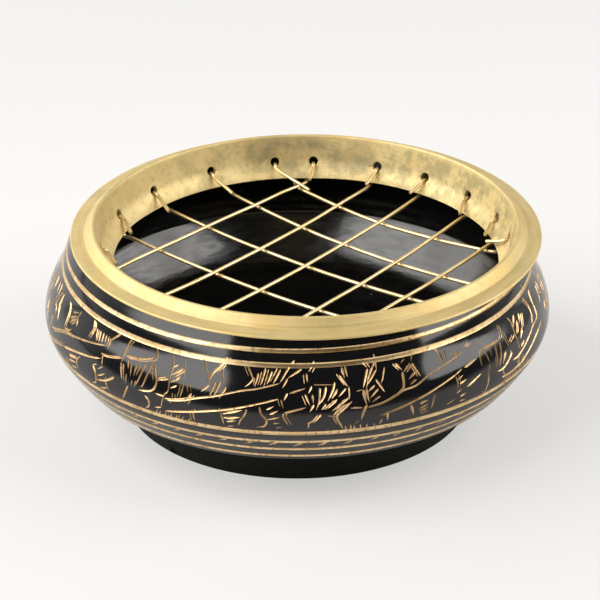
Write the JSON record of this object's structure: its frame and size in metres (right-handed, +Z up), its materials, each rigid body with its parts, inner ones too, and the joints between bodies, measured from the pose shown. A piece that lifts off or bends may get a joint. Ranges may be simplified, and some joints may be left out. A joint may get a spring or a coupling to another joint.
{
  "type": "charcoal incense burner",
  "caption": "Round black-lacquered bowl with engraved brass bands and leaf ornament, a brass ring strung with crossing wires on its mouth, standing on a turned wooden coaster.",
  "frame": {"origin": "middle of the coaster's underside, on the table", "axes": "+Z up along the bowl's axis, +X to the right and -Y towards the viewer of the picture"},
  "size_m": [0.1264, 0.1264, 0.0488],
  "materials": {
    "black_wood": "matte black stain",
    "black_lacquer": "glossy black lacquer over engraved brass",
    "aged_brass": "cast and turned, slightly tarnished",
    "bright_brass": "drawn wire"
  },
  "bodies": {
    "coaster": {"coaster": "black_wood"},
    "burner": {"bowl": "black_lacquer", "rim_ring": "aged_brass", "upper_wire_1": "bright_brass", "upper_wire_2": "bright_brass", "upper_wire_3": "bright_brass", "upper_wire_4": "bright_brass", "upper_wire_5": "bright_brass", "lower_wire_1": "bright_brass", "lower_wire_2": "bright_brass", "lower_wire_3": "bright_brass", "lower_wire_4": "bright_brass"}
  },
  "joints": [
    {"name": "burner_lift", "type": "slide", "parent": "coaster", "child": "burner", "axis": [0, 0, 1], "range_m": [0, 0.06]}
  ]
}
